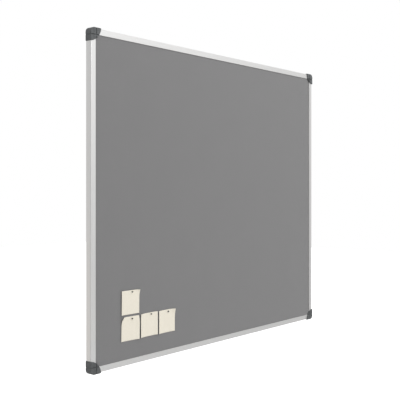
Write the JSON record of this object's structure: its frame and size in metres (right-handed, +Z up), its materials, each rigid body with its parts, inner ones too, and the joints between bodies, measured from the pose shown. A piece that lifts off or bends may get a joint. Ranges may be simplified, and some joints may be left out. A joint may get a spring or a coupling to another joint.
{
  "type": "bulletin board",
  "caption": "Wall-hung pin board: grey felt face in a slim aluminium frame with moulded corner caps that pull off over the wall screws, and small paper notes on pins.",
  "frame": {"origin": "middle of the board on the wall plane, which is the centre of the four wall-screw holes", "axes": "+X to the right as the viewer sees it, +Y back into the wall, +Z up; the face looks along -Y"},
  "size_m": [1.2044, 0.0258, 1.0044],
  "materials": {
    "frame": "satin anodised",
    "caps": "fine moulded texture",
    "brackets": "plain moulded",
    "screw_steel": "zinc plated",
    "felt": "pressed felt",
    "cork": "ground cork",
    "core": "soft fibreboard",
    "backing": "kraft liner",
    "paper": "uncoated",
    "pin_heads": "glossy",
    "pin_steel": "ground"
  },
  "bodies": {
    "board": {"frame_top": "frame", "frame_bottom": "frame", "frame_left": "frame", "frame_right": "frame", "frame_screws": "screw_steel", "felt_face": "felt", "cork_sheet": "cork", "core_board": "core", "backing_sheet": "backing", "corner_bracket_top_left": "brackets", "corner_bracket_top_right": "brackets", "corner_bracket_bottom_left": "brackets", "corner_bracket_bottom_right": "brackets"},
    "cap_top_left": {"corner_cap_top_left": "caps"},
    "cap_top_right": {"corner_cap_top_right": "caps"},
    "cap_bottom_left": {"corner_cap_bottom_left": "caps"},
    "cap_bottom_right": {"corner_cap_bottom_right": "caps"},
    "pin_upper": {"pin_head_upper": "pin_heads", "pin_needle_upper": "pin_steel"},
    "note_upper": {"note_upper": "paper"},
    "pin_lower_left": {"pin_head_lower_left": "pin_heads", "pin_needle_lower_left": "pin_steel"},
    "note_lower_left": {"note_lower_left": "paper"},
    "pin_lower_middle": {"pin_head_lower_middle": "pin_heads", "pin_needle_lower_middle": "pin_steel"},
    "note_lower_middle": {"note_lower_middle": "paper"},
    "pin_lower_right": {"pin_head_lower_right": "pin_heads", "pin_needle_lower_right": "pin_steel"},
    "note_lower_right": {"note_lower_right": "paper"}
  },
  "joints": [
    {"name": "cap_top_left_pull", "type": "slide", "parent": "board", "child": "cap_top_left", "axis": [0, -1, 0], "range_m": [0, 0.03]},
    {"name": "cap_top_right_pull", "type": "slide", "parent": "board", "child": "cap_top_right", "axis": [0, -1, 0], "range_m": [0, 0.03]},
    {"name": "cap_bottom_left_pull", "type": "slide", "parent": "board", "child": "cap_bottom_left", "axis": [0, -1, 0], "range_m": [0, 0.03]},
    {"name": "cap_bottom_right_pull", "type": "slide", "parent": "board", "child": "cap_bottom_right", "axis": [0, -1, 0], "range_m": [0, 0.03]},
    {"name": "pin_upper_pull", "type": "slide", "parent": "board", "child": "pin_upper", "axis": [0, -1, 0], "range_m": [0, 0.016]},
    {"name": "note_upper_swing", "type": "hinge", "parent": "pin_upper", "child": "note_upper", "pos_m": [-0.435, -0.02, -0.279], "axis": [0, -1, 0], "range_deg": [-8, 8]},
    {"name": "pin_lower_left_pull", "type": "slide", "parent": "board", "child": "pin_lower_left", "axis": [0, -1, 0], "range_m": [0, 0.016]},
    {"name": "note_lower_left_swing", "type": "hinge", "parent": "pin_lower_left", "child": "note_lower_left", "pos_m": [-0.434, -0.02, -0.3605], "axis": [0, -1, 0], "range_deg": [-4, 4]},
    {"name": "pin_lower_middle_pull", "type": "slide", "parent": "board", "child": "pin_lower_middle", "axis": [0, -1, 0], "range_m": [0, 0.016]},
    {"name": "note_lower_middle_swing", "type": "hinge", "parent": "pin_lower_middle", "child": "note_lower_middle", "pos_m": [-0.351, -0.02, -0.3575], "axis": [0, -1, 0], "range_deg": [-4, 4]},
    {"name": "pin_lower_right_pull", "type": "slide", "parent": "board", "child": "pin_lower_right", "axis": [0, -1, 0], "range_m": [0, 0.016]},
    {"name": "note_lower_right_swing", "type": "hinge", "parent": "pin_lower_right", "child": "note_lower_right", "pos_m": [-0.272, -0.02, -0.3595], "axis": [0, -1, 0], "range_deg": [-4, 4]}
  ]
}
